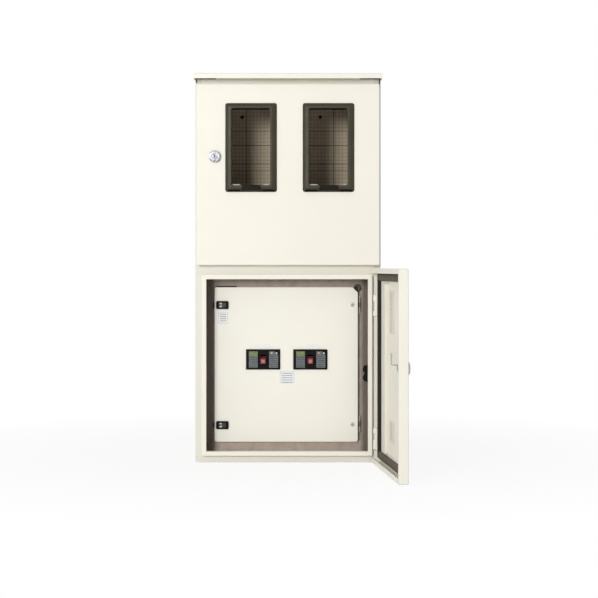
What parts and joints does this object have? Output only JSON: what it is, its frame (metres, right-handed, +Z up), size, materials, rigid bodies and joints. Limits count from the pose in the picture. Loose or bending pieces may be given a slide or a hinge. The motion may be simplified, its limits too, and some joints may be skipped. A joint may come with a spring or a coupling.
{
  "type": "electric meter box",
  "caption": "Wall-mounted steel meter and breaker cabinet with a sloping roof, a windowed upper door and a lower door standing open on a latched inner cover.",
  "frame": {"origin": "centre of the four wall holes, on the back plane of the cabinet", "axes": "+Z up, +Y into the wall, so the doors face -Y; +X is the hinge side"},
  "size_m": [0.5505, 0.7214, 1.0596],
  "materials": {
    "paint": "fine textured cream polyester powder coat, satin",
    "zinc_steel": "zinc plated sheet",
    "pin_steel": "zinc plated",
    "screw_steel": "zinc plated",
    "lock_chrome": "polished chrome plate",
    "seal_rubber": "matt black rubber",
    "foam": "dark brown closed-cell foam",
    "smoked_window": "smoked translucent polycarbonate",
    "board": "painted board with a printed measuring grid",
    "brass": "drawn brass",
    "black_plastic": "moulded black plastic",
    "red_plastic": "moulded red tip",
    "button_plastic": "moulded, pale"
  },
  "bodies": {
    "cabinet": {"shell_wrapper": "paint", "top_panel": "paint", "bottom_panel": "paint", "upper_front_frame": "paint", "lower_front_frame": "paint", "partition_shelf": "paint", "roof_hood": "paint", "roof_corner_seals": "seal_rubber", "gland_plate": "paint", "cable_bushes": "seal_rubber", "gland_screws": "screw_steel", "earth_bar": "brass", "earth_bar_screws": "brass", "meter_board": "board", "meter_board_spacers": "zinc_steel", "meter_board_screws": "screw_steel", "meter_hanging_screws": "screw_steel", "upper_hinge_leaves": "paint", "lower_hinge_leaves": "paint", "upper_hinge_pins": "pin_steel", "lower_hinge_pins": "pin_steel", "inner_cover_hinge_pins": "pin_steel", "cover_rail_left": "zinc_steel", "cover_rail_right": "zinc_steel", "cover_corner_buffer": "seal_rubber", "breaker_mounting_plate": "zinc_steel", "breaker_left_base": "black_plastic", "breaker_left_cover": "black_plastic", "breaker_right_base": "black_plastic", "breaker_right_cover": "black_plastic", "breaker_terminal_screws": "brass", "breaker_fixing_screws": "screw_steel", "side_wire_clip": "black_plastic"},
    "upper_door": {"upper_door": "paint", "upper_door_gasket": "foam", "window_left": "smoked_window", "window_right": "smoked_window", "window_retainers": "zinc_steel", "upper_lock_case": "lock_chrome", "upper_door_knuckles": "paint"},
    "upper_lock": {"upper_lock_plug": "lock_chrome", "upper_lock_cam": "pin_steel"},
    "lower_door": {"lower_door": "paint", "lower_door_gasket": "foam", "lower_door_stiffener": "paint", "lower_lock_case": "lock_chrome", "lower_door_knuckles": "paint"},
    "lower_lock": {"lower_lock_plug": "lock_chrome", "lower_lock_cam": "pin_steel"},
    "inner_cover": {"inner_cover": "paint", "inner_cover_hinge_leaves": "zinc_steel", "inner_cover_screws": "screw_steel", "latch_housings": "black_plastic"},
    "lower_latch": {"latch_slider_lower": "black_plastic"},
    "upper_latch": {"latch_slider_upper": "black_plastic"},
    "left_toggle": {"breaker_left_toggle": "red_plastic"},
    "right_toggle": {"breaker_right_toggle": "red_plastic"},
    "left_button": {"breaker_left_button": "button_plastic"},
    "right_button": {"breaker_right_button": "button_plastic"}
  },
  "joints": [
    {"name": "upper_door_hinge", "type": "hinge", "parent": "cabinet", "child": "upper_door", "pos_m": [0.239, -0.237, 0.2565], "axis": [0, 0, 1], "range_deg": [0, 110]},
    {"name": "lower_door_hinge", "type": "hinge", "parent": "cabinet", "child": "lower_door", "pos_m": [0.239, -0.237, -0.25625], "axis": [0, 0, 1], "range_deg": [-95, 15]},
    {"name": "upper_lock_turn", "type": "hinge", "parent": "upper_door", "child": "upper_lock", "pos_m": [-0.1964, -0.247, 0.3044], "axis": [0, -1, 0], "range_deg": [0, 90]},
    {"name": "lower_lock_turn", "type": "hinge", "parent": "lower_door", "child": "lower_lock", "pos_m": [0.28691, -0.66987, -0.239], "axis": [0.9962, 0.0872, 0], "range_deg": [0, 90]},
    {"name": "inner_cover_hinge", "type": "hinge", "parent": "cabinet", "child": "inner_cover", "pos_m": [0.196, -0.1537, -0.258], "axis": [0, 0, 1], "range_deg": [0, 80]},
    {"name": "lower_latch_slide", "type": "slide", "parent": "inner_cover", "child": "lower_latch", "axis": [-1, 0, 0], "range_m": [0, 0.008]},
    {"name": "upper_latch_slide", "type": "slide", "parent": "inner_cover", "child": "upper_latch", "axis": [-1, 0, 0], "range_m": [0, 0.008]},
    {"name": "left_toggle_rock", "type": "hinge", "parent": "cabinet", "child": "left_toggle", "pos_m": [-0.0678, -0.158, -0.244], "axis": [-1, 0, 0], "range_deg": [0, 20]},
    {"name": "right_toggle_rock", "type": "hinge", "parent": "cabinet", "child": "right_toggle", "pos_m": [0.061, -0.158, -0.244], "axis": [-1, 0, 0], "range_deg": [0, 20]},
    {"name": "left_button_press", "type": "slide", "parent": "cabinet", "child": "left_button", "axis": [0, 1, 0], "range_m": [0, 0.0012], "stiffness_N_per_m": 150},
    {"name": "right_button_press", "type": "slide", "parent": "cabinet", "child": "right_button", "axis": [0, 1, 0], "range_m": [0, 0.0012], "stiffness_N_per_m": 150}
  ]
}
